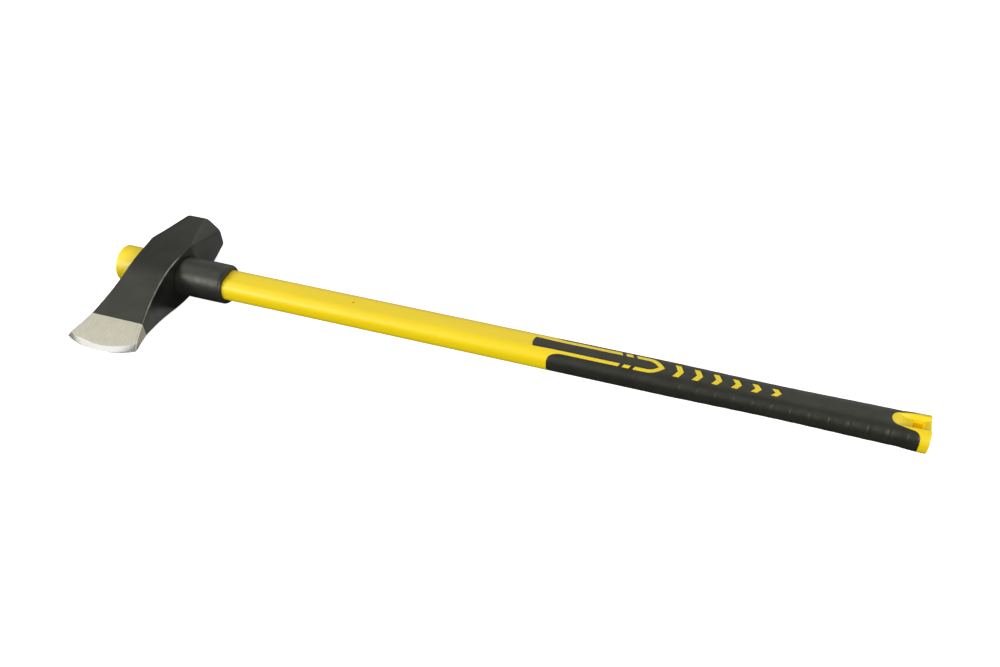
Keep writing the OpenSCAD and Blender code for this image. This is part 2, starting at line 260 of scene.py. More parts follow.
def cheek_half(y):
    """Half thickness of the head at y, in front of the honed bevel."""
    if y >= CHAMFER_REACH:
        back = (y - CHAMFER_REACH) / (POLL_REACH - CHAMFER_REACH)
        return CHEEK_HALF + (POLL_HALF_T - CHEEK_HALF) * back
    if y >= BLEND_FROM:
        return CHEEK_HALF
    if y >= BLEND_TO:
        return CHEEK_HALF - BLEND_R + math.sqrt(BLEND_R**2 - (BLEND_FROM - y) ** 2)
    if y >= -PAINT_REACH:
        return BIT_HALF + WEDGE_SLOPE * (y + PAINT_REACH)
    return bit_half(y)


def chamfer_plane():
    """Unit normal of a poll chamfer's plane and the plane's distance along it."""
    a = np.array([POLL_FLAT_HALF_W, POLL_REACH, POLL_HALF_T])
    b = np.array([POLL_HALF_W, POLL_REACH, POLL_FLAT_HALF_T])
    c = np.array([POLL_HALF_W, CHAMFER_REACH, CHEEK_HALF])
    normal = np.cross(c - a, b - a)
    normal /= np.linalg.norm(normal)
    return normal, normal @ a


def least_cut(half_t, y):
    """Least chamfer of the edges at y, smaller where the head is thin."""
    grown = float(smooth((CUT_GROWS - PAINT_REACH - y) / CUT_GROWS))
    return min(CHEEK_CUT + (BIT_CUT - CHEEK_CUT) * grown, 0.4 * half_t)


def bend(corner, before, after, r):
    """Points round a corner with radius r. before and after are unit directions."""
    turn = math.acos(max(-1.0, min(1.0, float(np.dot(before, after)))))
    start = corner - before * r * math.tan(turn / 2)
    inward = np.array([before[1], -before[0]])
    return [start + r * (math.sin(a) * before + (1 - math.cos(a)) * inward)
            for a in steps(0, turn, CORNER_STEPS)]


def edge_shape(half_w, half_t, y, inset=0.0):
    """The rounded edge between cheek and side at y, as points (x, z)."""
    x, z = half_w, half_t
    if y >= 0:
        normal, distance = chamfer_plane()
        rest = distance - inset - normal[1] * y
        x, z = (rest - normal[2] * half_t) / normal[0], (rest - normal[0] * half_w) / normal[2]
    least = least_cut(half_t, y)
    a = np.array([min(x, half_w - least), half_t])
    b = np.array([half_w, min(z, half_t - least)])
    along = (b - a) / np.linalg.norm(b - a)
    turn_a = math.acos(along[0])
    turn_b = math.pi / 2 - turn_a
    spread = math.tan(turn_a / 2) + math.tan(turn_b / 2)
    r = min(SOFT_R, 0.98 * np.linalg.norm(b - a) / spread)
    return bend(a, np.array([1.0, 0.0]), along, r) + bend(b, along, np.array([0.0, -1.0]), r)


def quarter_loop(half_w, half_t, y, inset=0.0):
    """Points (x, z) from the middle of the upper cheek round to the middle of the side."""
    edge = edge_shape(half_w, half_t, y, inset)
    support = min(SUPPORT, 0.3 * edge[-1][1])
    top = [(x, half_t) for x in steps(0, edge[0][0] - SUPPORT, TOP_STEPS)]
    side = [(half_w, z) for z in steps(edge[-1][1] - support, 0, SIDE_STEPS)]
    return top + [tuple(p) for p in edge] + side


SIDE_COLUMN = TOP_STEPS + 1 + 2 * (CORNER_STEPS + 1)
QUARTER = SIDE_COLUMN + SIDE_STEPS


def full_loop(quarter, point):
    """All four quarters as one row that ends where it starts. point(x, z, sx, sz) places each point."""
    order = [(q, 1, 1) for q in quarter]
    order += [(q, 1, -1) for q in quarter[-2::-1]]
    order += [(q, -1, -1) for q in quarter[1:]]
    order += [(q, -1, 1) for q in quarter[-2::-1]]
    return [point(q[0], q[1], sx, sz) for q, sx, sz in order]


def straight_row(y, inset=0.0, face_y=None):
    """The head's section square across at y, drawn in by inset and set at face_y."""
    quarter = quarter_loop(head_half_w(y) - inset, cheek_half(y) - inset, y, inset)
    at = y if face_y is None else face_y
    return full_loop(quarter, lambda x, z, sx, sz: (sx * x, at, sz * z))


def bevel_width(x):
    """Width of the honed bevel, narrower towards the corner on the tenon's side."""
    return BEVEL_L + (BEVEL_FAR_L - BEVEL_L) * float(smooth((-x - NARROW_FROM) / NARROW_OVER))


def edge_y(x, back=0.0):
    """The cutting edge's arc, or the line that runs a distance back behind it."""
    return EDGE_CENTRE_Y - math.sqrt((EDGE_R - back) ** 2 - x * x)


def bevel_y(x):
    """The line between the ground bit and the honed bevel."""
    return edge_y(x, bevel_width(x))


def side_corner(line_y, sx):
    """Where a line across the bit, given as y of x, meets the head's side."""
    y = -PAINT_REACH
    for _ in range(40):
        y = line_y(sx * head_half_w(y))
    return head_half_w(y), y


def blade_row(f, start, end):
    """A row across the blade, the share f of the way from one line to another.

    Each line is a pair of functions: y of x, and half thickness of y.
    """
    (line_a, thick_a), (line_b, thick_b) = start, end
    corners = {sx: (side_corner(line_a, sx), side_corner(line_b, sx)) for sx in (1, -1)}

    def between(y_a, y_b):
        return y_a + f * (y_b - y_a), thick_a(y_a) + f * (thick_b(y_b) - thick_a(y_a))

    def point(x, z, sx, sz):
        (x_a, side_a), (x_b, side_b) = corners[sx]
        y_side, t_side = between(side_a, side_b)
        half_w = head_half_w(y_side)
        u = min(x / quarter_w, 1.0)
        y, t = between(line_a(sx * u * x_a), line_b(sx * u * x_b))
        if z < quarter_t:
            return sx * (x - quarter_w + half_w), y, sz * z * t_side / quarter_t
        return sx * u * half_w, y, sz * t

    y_near, t_near = between(corners[1][0][1], corners[1][1][1])
    quarter_w = head_half_w(y_near)
    quarter_t = max(t_near, 1e-3)   # The loop needs some height even on the edge itself
    return full_loop(quarter_loop(quarter_w, quarter_t, -PAINT_REACH), point)


def bit_row(f):
    """A row on the ground bit: f is 0 at the paint line and 1 at the bevel line."""
    return blade_row(f, (lambda x: -PAINT_REACH, bit_half), (bevel_y, bit_half))


def bevel_row(f, back, half_t):
    """A row on the honed bevel: f is 1 at a line back from the edge, where it is half_t thick."""
    return blade_row(f, (bevel_y, bit_half), (lambda x: edge_y(x, back), lambda y: half_t))


def eye_r(x):
    """Radius of the eye's tapered bore."""
    taper = (TENON_END_R - TENON_NECK_R) / (NECK_END + TENON_REACH)
    return TENON_NECK_R + RESIN_T + taper * (NECK_END - x)


def tenon_r(x):
    """Radius of the tenon, which the resin parts from the bore."""
    return eye_r(x) - RESIN_T


def eye_passage(block):
    """Rings from one side of the head, through the eye, to the other. block holds the rows beside it."""
    first, last = SIDE_COLUMN, 2 * QUARTER - SIDE_COLUMN
    near = [block[0][j] for j in range(first, last + 1)]
    near += [row[last] for row in block[1:]]
    near += [block[-1][j] for j in range(last - 1, first - 1, -1)]
    near += [row[first] for row in block[-2::-1]]
    edge = np.array([(p[1], p[2]) for p in near])
    round_unit = edge / np.linalg.norm(edge, axis=1)[:, None]

    def ring(sx, yz, depth=0.0):
        return [(sx * (head_half_w(y) - depth), y, z) for y, z in yz]

    def outside(sx):
        rim = round_unit * (eye_r(sx * WAIST_HALF) + EYE_ROUND)
        rings = [ring(sx, edge + f * (rim - edge)) for f in (0, 0.35, 0.7, 1)]
        rings.append(ring(sx, round_unit * (eye_r(sx * WAIST_HALF) + 0.17), 0.17))
        rings.append(ring(sx, round_unit * eye_r(sx * WAIST_HALF), EYE_ROUND))
        return rings

    middle = [[(x, r[0] * eye_r(x), r[1] * eye_r(x)) for r in round_unit] for x in (16, 0, -16)]
    return outside(1) + middle + outside(-1)[::-1]


def face_rows():
    """Rows over the crowned striking face and round its rim."""
    rim_y = POLL_REACH - FACE_CROWN
    rim = np.array(straight_row(POLL_REACH, FACE_R, rim_y))
    rows = []
    for scale in (0, 0.2, 0.4, 0.6, 0.8, 0.93):
        row = rim * [scale, 1, scale]
        row[:, 1] += FACE_CROWN * (1 - scale**2)
        rows.append(row)
    for a in np.radians((90, 67, 45, 22, 0)):
        inset, out = FACE_R * (1 - math.cos(a)), FACE_R * (1 - math.sin(a))
        rows.append(straight_row(POLL_REACH - out, inset, rim_y - out))
    return rows


def make_head(materials):
    """The head, in stretches that each start with the last row of the one before."""
    poll = face_rows() + [straight_row(y) for y in steps(POLL_REACH - FACE_R - 3, EYE_BLOCK, 10)]
    block = poll[-1:] + [straight_row(y) for y in steps(EYE_BLOCK, -EYE_BLOCK, 16)[1:]]
    wedge = block[-1:] + [straight_row(y) for y in steps(-EYE_BLOCK, -PAINT_REACH + SUPPORT, 16)[1:]]
    wedge.append(straight_row(-PAINT_REACH))
    bit = wedge[-1:] + [bit_row(s) for s in (0.02, 0.2, 0.4, 0.6, 0.8, 0.985, 1)]
    bevel = bit[-1:] + [bevel_row(f, 0.35, EDGE_HALF_T) for f in (0.05, 0.35, 0.7, 1)]
    bevel += [bevel_row(1, 0.12, 0.28), bevel_row(1, 0, 0)]

    skin = Skin()
    skin.grid(poll, PAINT)
    skin.grid([row[-SIDE_COLUMN - 1:-1] + row[:SIDE_COLUMN + 1] for row in block], PAINT)
    low, high = 2 * QUARTER - SIDE_COLUMN, 2 * QUARTER + SIDE_COLUMN
    skin.grid([row[low:high + 1] for row in block], PAINT)
    skin.grid(eye_passage(block), PAINT)
    skin.grid(wedge, PAINT)
    skin.grid(bit, STEEL)
    skin.grid(bevel, HONED)
    piece = skin.build("maul_head", materials, sharp_deg=40)
    mark_wear_and_highlight(piece)
    place(piece, "head")


def mark_wear_and_highlight(piece):
    """Marks the edges of the cheeks, where handling rubs the paint thin and where a painted highlight
    lightens them.
    """
    wear_and_highlight = piece.data.attributes.new("wear_and_highlight", "FLOAT", "POINT")
    origin = np.array(eye_middle)
    for i, v in enumerate(piece.data.vertices):
        x, y, z = (np.array(v.co) - origin) / MM
        on_side = abs(x) > head_half_w(y) - WEAR_HIGHLIGHT_BAND
        on_cheek = abs(z) > cheek_half(y) - WEAR_HIGHLIGHT_BAND
        along = smooth((WEAR_HIGHLIGHT_FROM - y) / WEAR_HIGHLIGHT_OVER)
        wear_and_highlight.data[i].value = float(along) if on_side and on_cheek and y > WEAR_HIGHLIGHT_END else 0.0


# ---- Handle ----

ROUND_V = FLAT_W + SHAFT_R * math.pi / 2    # From the top's middle to the narrow side's flat
QUARTER_V = ROUND_V + FLAT_T                # To the middle of the narrow side
V_STEPS = steps(0, FLAT_W, 3) + steps(FLAT_W, ROUND_V, 10)[1:] + [QUARTER_V]
QUARTERS = [(1, sy, sz) for sy in (1, -1) for sz in (1, -1)]
SHEET_FROM = 60.0
CLEARANCE = 0.55        # Least distance from the sheet's grid points to its lines
LEAST_MITRE = 0.45      # Keeps an offset line's sharp corners short
GROOVE_W = 0.6          # Width of the fine groove between rubber and plastic
GROOVE_DEPTH = 0.28
ARROWS = 6
RIB_FROM, RIB_PITCH, RIBS = 609.6, 18.2, 13
RIB_V = 13.4            # Where the cross grooves on the narrow sides start
RIB_FADE = 4.0
RIB_DEPTH = 0.2
RIB_RIM = 0.85          # Half width of a cross groove at its top
RIB_BED = 0.4           # The same on its floor
PAD_DEPTH = 0.34        # Depth of the dished pads between the grooves
END_ROUND = 1.4
PIN_X, PIN_R, PIN_DEPTH = 242.6, 1.5, 1.4

SLOT_PAINTED_GLOW = 1         # Finish of the slot's walls, which carry a painted glow; the rest of the jacket has finish 0


def growth(x):
    """How far the section stands out from the plain shaft's: a waist in the grip, a flared butt."""
    if x < WAIST_FROM:
        return 0.0
    if x < WAIST_TO:
        turn = math.pi * (x - WAIST_FROM) / (WAIST_TO - WAIST_FROM)
        return -GRIP_WAIST * math.sin(turn) ** 2
    return BUTT_FLARE * math.sin(math.pi / 2 * (x - WAIST_TO) / (BUTT_X - WAIST_TO))


def end_inset(x):
    """How far the rounded end draws the surface in."""
    into = x - (BUTT_X - END_ROUND)
    return END_ROUND - math.sqrt(max(END_ROUND**2 - into**2, 0)) if into > 0 else 0.0


def section_point(x, v, inset=0.0):
    """A point of the handle's form: v runs from the top's middle down to the side's middle."""
    r = SHAFT_R + growth(x) - inset
    if v <= FLAT_W:
        return x, v, FLAT_T + r
    turn = (v - FLAT_W) / SHAFT_R
    if turn <= math.pi / 2:
        return x, FLAT_W + r * math.sin(turn), FLAT_T + r * math.cos(turn)
    return x, FLAT_W + r, max(QUARTER_V - v, 0.0)


def v_of(x, y):
    """The place round the section, in the upper quarter, that lies at y in the plan."""
    if y <= FLAT_W:
        return y
    share = min((y - FLAT_W) / (SHAFT_R + growth(x)), 1.0)
    return FLAT_W + SHAFT_R * math.asin(share)


def rounded(points, r, closed=True):
    """A polygon with its corners cut back by r and rounded."""
    points = [np.array(p, float) for p in points]
    made = []
    for i, p in enumerate(points):
        if not closed and i in (0, len(points) - 1):
            made.append(tuple(p))
            continue
        a, b = points[i - 1], points[(i + 1) % len(points)]
        a = p + (a - p) * min(r / np.linalg.norm(a - p), 0.45)
        b = p + (b - p) * min(r / np.linalg.norm(b - p), 0.45)
        for t in steps(0, 1, 3):
            made.append(tuple((1 - t) ** 2 * a + 2 * t * (1 - t) * p + t * t * b))
    return made


def strip_line():
    """From the front of the middle strip, along the yellow line and round the side panel."""
    front, half, corner_r = STRIP_START + 1.0, STRIP_HALF + 0.7, 1.3
    flat = half - corner_r
    line = [(STRIP_START + (y / flat) ** 2, y) for y in steps(0, flat, 4)]
    line += arc(front + corner_r, flat, corner_r, 180, 90, 5)[1:]
    line += [(STRIP_START + 22, STRIP_HALF), (DASH_END - 0.5, STRIP_HALF)]
    line += [(DASH_END - 0.2, STRIP_HALF + 0.3), (DASH_END - 1.6, PANEL_GAP_HALF - 0.3)]
    line += [(DASH_END - 2.2, PANEL_GAP_HALF)]
    corner_l, rise = 16.0, SHAFT_HALF_W - PANEL_GAP_HALF
    for a in steps(math.pi / 2, 0, 14):
        line.append((PANEL_START + corner_l * (1 - math.cos(a)), SHAFT_HALF_W - rise * math.sin(a)))
    return line


def tongue_line():
    """From the band at the side of the butt round the heel to the tongue's tip."""
    tip_x, tip_r, half, heel_l, heel_w = BUTT_X - 36.6, 8.6, 11.2, 9.0, 8.2
    line = []
    for a in steps(0, math.pi / 2, 12):
        line.append((BAND_X - heel_l * (1 - math.cos(a)), half + heel_w * (1 - math.sin(a))))
    line += arc(tip_x + tip_r, 0, tip_r, 98, 180, 12)[:-1] + [(tip_x, 0.0)]
    return line


def bar_loop():
    """The slanted bar between the yellow lines and the hoop."""
    x0, x1 = DASH_END + 3.9, DASH_END + 11.3
    inner, outer = [(x, STRIP_HALF) for x in (x0, x1)], [(x - SLANT, PANEL_GAP_HALF) for x in (x1, x0)]
    return rounded(inner + outer, 0.6)


def hoop_line():
    """The pointed hoop that closes the pair of yellow lines, from its outer tip to its inner."""
    x0, bend_x, tip, inner_tip = DASH_END + 15.2, 572.0, 590.8, 584.4

    def arch(half, end, shares):
        return [(bend_x + (end - bend_x) * t, half * (1 - t**2.4)) for t in shares]

    outer = arch(PANEL_GAP_HALF, tip, steps(1, 0, 12))
    inner = arch(STRIP_HALF, inner_tip, steps(0, 1, 12))
    tail = [outer[-1], (x0 - SLANT, PANEL_GAP_HALF), (x0, STRIP_HALF), inner[0]]
    return outer[:-1] + rounded(tail, 0.6, closed=False) + inner[1:]


def arrow_line(i):
    """Half of an arrow mark, from its outer point round to its notch."""
    arm, sweep = 6.3, 4.0
    x = 610.2 + 19.4 * i
    half = 8.2 - 3.3 * i / (ARROWS - 1)
    corners = [(x, 0), (x - sweep, half), (x - sweep - arm, half), (x - arm, 0)]
    return rounded(corners, 0.7, closed=False)


def as_sheet(line, to_side=None):
    """A line in the plan as a line on the sheet. to_side carries it on down the narrow side."""
    made = [(x, v_of(x, y)) for x, y in line]
    if to_side == "end":
        made.append((made[-1][0], QUARTER_V))
    if to_side == "start":
        made.insert(0, (made[0][0], QUARTER_V))
    return made


def divided(line, longest=2.6, closed=False):
    """The same line with its long stretches divided."""
    ends = line[1:] + line[:1] if closed else line[1:]
    made = []
    for p, q in zip(line, ends):
        n = max(1, math.ceil(math.dist(p, q) / longest))
        made += [(p[0] + (q[0] - p[0]) * i / n, p[1] + (q[1] - p[1]) * i / n) for i in range(n)]
    return made if closed else made + [line[-1]]


def mirrored(end, inner):
    """The mirror image of inner in the sheet's border, on which a line has its end."""
    border = 0.0 if end[1] < QUARTER_V / 2 else QUARTER_V
    return np.array([inner[0], 2 * border - inner[1]])


def beside(line, d, closed=False):
    """A line offset by d to its left. Ends on the sheet's borders stay on them."""
    points = [np.array(p, float) for p in line]
    around = [points[-1], *points, points[0]]
    if not closed:
        around[0], around[-1] = mirrored(points[0], points[1]), mirrored(points[-1], points[-2])
    made = []
    for before, p, after in zip(around, points, around[2:]):
        a, b = p - before, after - p
        a, b = a / np.linalg.norm(a), b / np.linalg.norm(b)
        normal = np.array([-(a + b)[1], (a + b)[0]])
        normal /= np.linalg.norm(normal)
        side = np.array([-a[1], a[0]])
        made.append(tuple(p + normal * d / max(float(normal @ side), LEAST_MITRE)))
    if not closed:
        made[0] = (made[0][0], float(points[0][1]))
        made[-1] = (made[-1][0], float(points[-1][1]))
    return made


def inside(points, polygon):
    """Which points lie inside a polygon."""
    x, y = points[:, 0], points[:, 1]
    hit = np.zeros(len(points), bool)
    for (x0, y0), (x1, y1) in zip(polygon, polygon[1:] + polygon[:1]):
        if y0 == y1:
            continue
        crosses = (y0 > y) != (y1 > y)
        hit ^= crosses & (x < (x1 - x0) * (y - y0) / (y1 - y0) + x0)
    return hit


def away_from(points, line, closed):
    """Distance from each point to a line."""
    ends = line[1:] + line[:1] if closed else line[1:]
    nearest = np.full(len(points), np.inf)
    for p, q in zip(line, ends):
        p, q = np.array(p), np.array(q)
        along = q - p
        t = np.clip((points - p) @ along / max(along @ along, 1e-12), 0, 1)
        gap = np.linalg.norm(points - (p + t[:, None] * along), axis=1)
        nearest = np.minimum(nearest, gap)
    return nearest


def scoop_half(x, gap=0.0):
    """Half width of the scoop at the middle of its sloping wall, gap further out."""
    return SCOOP_HALF + gap + 0.8 * end_inset(x)


def scoop_z(x, y, z):
    """Height of the butt's surface at (x, y), where the plain form is at z."""
    if x <= SCOOP_FROM:
        return z
    ramp = min((x - SCOOP_FROM) / (SCOOP_LEVEL - SCOOP_FROM), 1.0)
    drop = 0.65 * math.sin(math.pi / 2 * ramp) ** 2 + 0.35 * ramp
    rise = SCOOP_RISE * clamp((x - SLOT_TO) / (BUTT_X - SLOT_TO))
    floor = z - (z - SCOOP_FLOOR - rise) * drop - end_inset(x)
    share = float(smooth((scoop_half(x) + SCOOP_WALL / 2 - y) / SCOOP_WALL))
    return z - share * max(z - floor, 0)


def slot_lines():
    """Half of the hang slot's rim, and two lines round it for the rim's rounding."""
    corners = [(SLOT_FROM, 0), (SLOT_FROM, SLOT_HALF), (SLOT_TO, SLOT_HALF), (SLOT_TO, 0)]
    rim = divided(rounded(corners, 2 * SLOT_ROUND, closed=False), 2.0)
    return rim, beside(rim, 0.25), beside(rim, SLOT_ROUND)


def pin_lines():
    """Half of the pin mark's rim on the sheet, and a wider line round it."""
    rim = arc(PIN_X, 0, PIN_R, 180, 0, 10)
    rim[0], rim[-1] = (PIN_X - PIN_R, 0.0), (PIN_X + PIN_R, 0.0)
    return rim, [(PIN_X + (x - PIN_X) * 1.25, v * 1.25) for x, v in rim]


def rib_depth(x, v):
    """Depth of the cross grooves and of the shallow dished pads between them."""
    span = RIB_PITCH * (RIBS - 1)
    fade = float(smooth((v - RIB_V) / RIB_FADE))
    if fade == 0 or not RIB_FROM - 1 < x < RIB_FROM + span + 1:
        return 0.0
    place_in = (x - RIB_FROM + RIB_PITCH / 2) % RIB_PITCH - RIB_PITCH / 2
    groove = RIB_DEPTH * clamp((RIB_RIM - abs(place_in)) / (RIB_RIM - RIB_BED))
    dish = PAD_DEPTH * float(smooth((abs(place_in) - 1.2) / 5))
    ends = float(smooth((x - RIB_FROM) / 3) * smooth((RIB_FROM + span - x) / 3))
    return fade * max(groove, dish * ends)


def to_butt(start, n):
    """Places along the handle from start to the butt's end, closer together over its rounding."""
    return steps(start, BUTT_X - END_ROUND, n) + steps(BUTT_X - END_ROUND, BUTT_X, 4)[1:]


def outlines():
    """The strip's line, the tongue's and the marks', each with whether it is closed."""
    lines = [(as_sheet(strip_line(), "end"), False), (as_sheet(tongue_line(), "start"), False)]
    lines += [(as_sheet(bar_loop()), True), (as_sheet(hoop_line()), False)]
    lines += [(as_sheet(arrow_line(i)), False) for i in range(ARROWS)]
    return [(divided(line, closed=closed), closed) for line, closed in lines]


def relief_lines():
    """The other lines that triangles follow: pin mark, slot, scoop walls and cross grooves."""
    lines = [*pin_lines(), *slot_lines()]
    reach = SCOOP_WALL / 2 + 0.3
    for gap in steps(-reach, reach, 8):
        lines.append([(x, v_of(x, scoop_half(x, gap))) for x in to_butt(SCOOP_FROM + 1, 20)])
    for i in range(RIBS):
        for dx in (-RIB_RIM, -RIB_BED, RIB_BED, RIB_RIM):
            x = RIB_FROM + RIB_PITCH * i + dx
            lines.append([(x, v) for v in steps(RIB_V - 0.6, QUARTER_V, 9)])
    return lines


def sheet_grid(lines):
    """The points that fill the sheet, clear of the lines except on its end borders."""
    xs = steps(SHEET_FROM, STRIP_START - 10, 26)
    xs += steps(STRIP_START - 10, SCOOP_FROM, 92)[1:] + to_butt(SCOOP_FROM, 18)[1:]
    grid = np.array([(x, v) for x in xs for v in V_STEPS])
    inner = (grid[:, 0] > SHEET_FROM) & (grid[:, 0] < BUTT_X)
    keep = np.ones(len(grid), bool)
    for line, closed in lines:
        near = (grid[:, 0] > min(p[0] for p in line) - 2) & (grid[:, 0] < max(p[0] for p in line) + 2)
        near &= keep & inner
        gap = away_from(grid[near], line, closed)
        keep[np.flatnonzero(near)[gap < CLEARANCE]] = False
    return [tuple(p) for p in grid[keep]]


def triangulated(lines, grid):
    """Points and triangles over the sheet, with every line made of triangles' edges."""
    points, edges = [], []
    for line, closed in lines:
        start, n = len(points), len(line)
        points += line
        edges += [(start + i, start + (i + 1) % n) for i in range(n if closed else n - 1)]
    out, _, faces, _, _, _ = delaunay_2d_cdt([Vector(p) for p in points + grid], edges, [], 0, 1e-4)
    return np.array([(p.x, p.y) for p in out]), np.array([f for f in faces if len(f) == 3])


def handle_sheet():
    """Flat triangles of one quarter of the handle, with the outlines drawn into them.

    Returns the flat points, their places on the handle, the triangles, and which of them are rubber.
    """
    borders = outlines()
    lines = list(borders)
    for line, closed in borders:
        lines += [(beside(line, d, closed), closed) for d in (GROOVE_W / 2, -GROOVE_W / 2)]
    lines += [(line, False) for line in relief_lines()]
    sheet, triangles = triangulated(lines, sheet_grid(lines))

    middles = sheet[triangles].mean(axis=1)
    (strip, _), (tongue, _), *marks = borders
    rubber = inside(middles, strip + tongue)
    for mark, _ in marks:
        rubber &= ~inside(middles, mark)
    gone = inside(middles, pin_lines()[0]) | inside(middles, slot_lines()[0])
    sunk = np.zeros(len(sheet))
    for line, closed in borders:
        sunk[away_from(sheet, line, closed) < 1e-3] = GROOVE_DEPTH
    outer = np.array([on_handle(x, v, d) for (x, v), d in zip(sheet, sunk)])
    return sheet, outer, triangles[~gone], rubber[~gone]


def on_handle(x, v, sunk):
    """The outer surface of the handle at a place on the sheet."""
    inset = sunk + rib_depth(x, v) + end_inset(x)
    x, y, z = section_point(x, v, inset)
    z = scoop_z(x, y, z)
    rim_gap = slot_gap(x, y)
    if rim_gap < SLOT_ROUND:
        z -= SLOT_ROUND - math.sqrt(max(SLOT_ROUND**2 - (SLOT_ROUND - rim_gap) ** 2, 0))
    return x, y, z


def slot_gap(x, y):
    """Distance in the plan from the rim of the hang slot, for places outside it."""
    middle, half_l = (SLOT_FROM + SLOT_TO) / 2, (SLOT_TO - SLOT_FROM) / 2
    dx, dy = abs(x - middle) - half_l + SLOT_ROUND, abs(y) - SLOT_HALF + SLOT_ROUND
    return math.hypot(max(dx, 0), max(dy, 0)) + min(max(dx, dy), 0) - SLOT_ROUND


def border_edges(triangles, chosen):
    """Edges between the chosen triangles and the others."""
    owners = {}
    for t, is_chosen in zip(triangles, chosen):
        for i in range(3):
            key = tuple(sorted((int(t[i]), int(t[(i + 1) % 3]))))
            owners.setdefault(key, []).append(is_chosen)
    return [k for k, held in owners.items() if len(held) == 2 and held[0] != held[1]]


def layered(sheet, outer, triangles, rubber, on_top, depth):
    """A skin on the handle's surface where on_top, and depth below it where rubber, with walls between."""
    below = np.array([section_point(x, v, depth) for x, v in sheet])
    n = len(outer)
    walls = [(a, b, n + b, n + a) for a, b in border_edges(triangles, rubber)]
    skin = Skin(QUARTERS)
    skin.add(outer, triangles[on_top])
    skin.add(below, triangles[rubber])
    skin.add(np.vstack([outer, below]), walls)
    return skin


def make_grip(sheet, outer, triangles, rubber, materials):
    """The rubber grip, let into the jacket, with the yellow marks as windows through it."""
    skin = layered(sheet, outer, triangles, rubber, rubber, GRIP_WALL)
    place(skin.build("grip_rubber", materials, sharp_deg=50), "grip")


def add_slot_walls(skin):
    """A quarter of the walls of the hang slot."""
    top = np.array([on_handle(x, v, 0) for x, v in slot_lines()[0]])
    skin.grid([top * [1, 1, share] for share in (1, 0.6, 0)], SLOT_PAINTED_GLOW)


def add_pin_mark(skin):
    """A quarter of the blind round dimple that a mould pin leaves."""
    mouth = np.array([section_point(x, v) for x, v in pin_lines()[0]])
    bottom = mouth - [0, 0, PIN_DEPTH]
    middle = np.repeat([[PIN_X, 0, bottom[0][2]]], len(mouth), axis=0)
    skin.grid([mouth, bottom, middle])


def tenon_row(x, r):
    """A quarter of a round row about the axis, on the same rays as the sheet's front border."""
    turns = [math.atan2(y, z) for _, y, z in (section_point(SHEET_FROM, v) for v in V_STEPS)]
    return [(x, r * math.sin(a), r * math.cos(a)) for a in turns]


def add_tenon(skin):
    """A quarter of the tenon: its end with a raised rim, its length, and its turn into the shaft."""
    end_r = tenon_r(-TENON_REACH) - END_ROUND
    rows = [tenon_row(-TENON_REACH, end_r * scale) for scale in (0, 0.35, 0.7)]
    for a in steps(0, math.pi / 2, 5):
        x = -TENON_REACH + END_ROUND * (1 - math.sin(a))
        rows.append(tenon_row(x, tenon_r(x) - END_ROUND * (1 - math.sin(a))))
    rows += [tenon_row(x, tenon_r(x)) for x in steps(-TENON_REACH + END_ROUND, NECK, 12)[1:]]
    last_round = np.array(rows[-1])
    shaft_row = np.array([section_point(SHEET_FROM, v) for v in V_STEPS])
    for t in steps(0, 1, 8)[1:-1]:
        rows.append(last_round + (shaft_row - last_round) * [t, float(smooth(t)), float(smooth(t))])
    skin.grid(rows + [shaft_row])


def make_jacket(sheet, outer, triangles, rubber, materials):
    """The yellow jacket: tenon, shaft, the recess under the rubber, and the butt."""
    skin = layered(sheet, outer, triangles, rubber, ~rubber, GRIP_WALL + FIT)
    add_slot_walls(skin)
    add_pin_mark(skin)
    add_tenon(skin)
    piece = skin.build("handle_body", materials, sharp_deg=38, cap_x=BUTT_X)
    place(piece, "handle_jacket")


# ---- Collar ----


def section_reach(turn, gap):
    """Distance from the axis to the shaft's surface, gap further out, in the direction turn."""
    r = SHAFT_R + gap
    dy, dz = abs(math.sin(turn)), abs(math.cos(turn))
    b = dy * FLAT_W + dz * FLAT_T
    corner = b + math.sqrt(max(b * b - FLAT_W**2 - FLAT_T**2 + r * r, 0))
    if corner * dy < FLAT_W:
        return (FLAT_T + r) / dz
    if corner * dz < FLAT_T:
        return (FLAT_W + r) / dy
    return corner


def collar_ring(x, r, share=0.0, gap=0.0):
    """A ring of radius r at x, or share of the way from there to gap over the shaft's surface."""
    near = 1 - float(smooth((x - COLLAR_START) / COLLAR_FOLLOW))
    made = []
    for a in steps(0, 2 * math.pi, 112):
        reach = r + share * (section_reach(a, gap) - r)
        y, z = reach * math.sin(a), reach * math.cos(a)
        made.append((x + near * (head_half_w(y) + 0.1 - COLLAR_START), y, z))
    return made


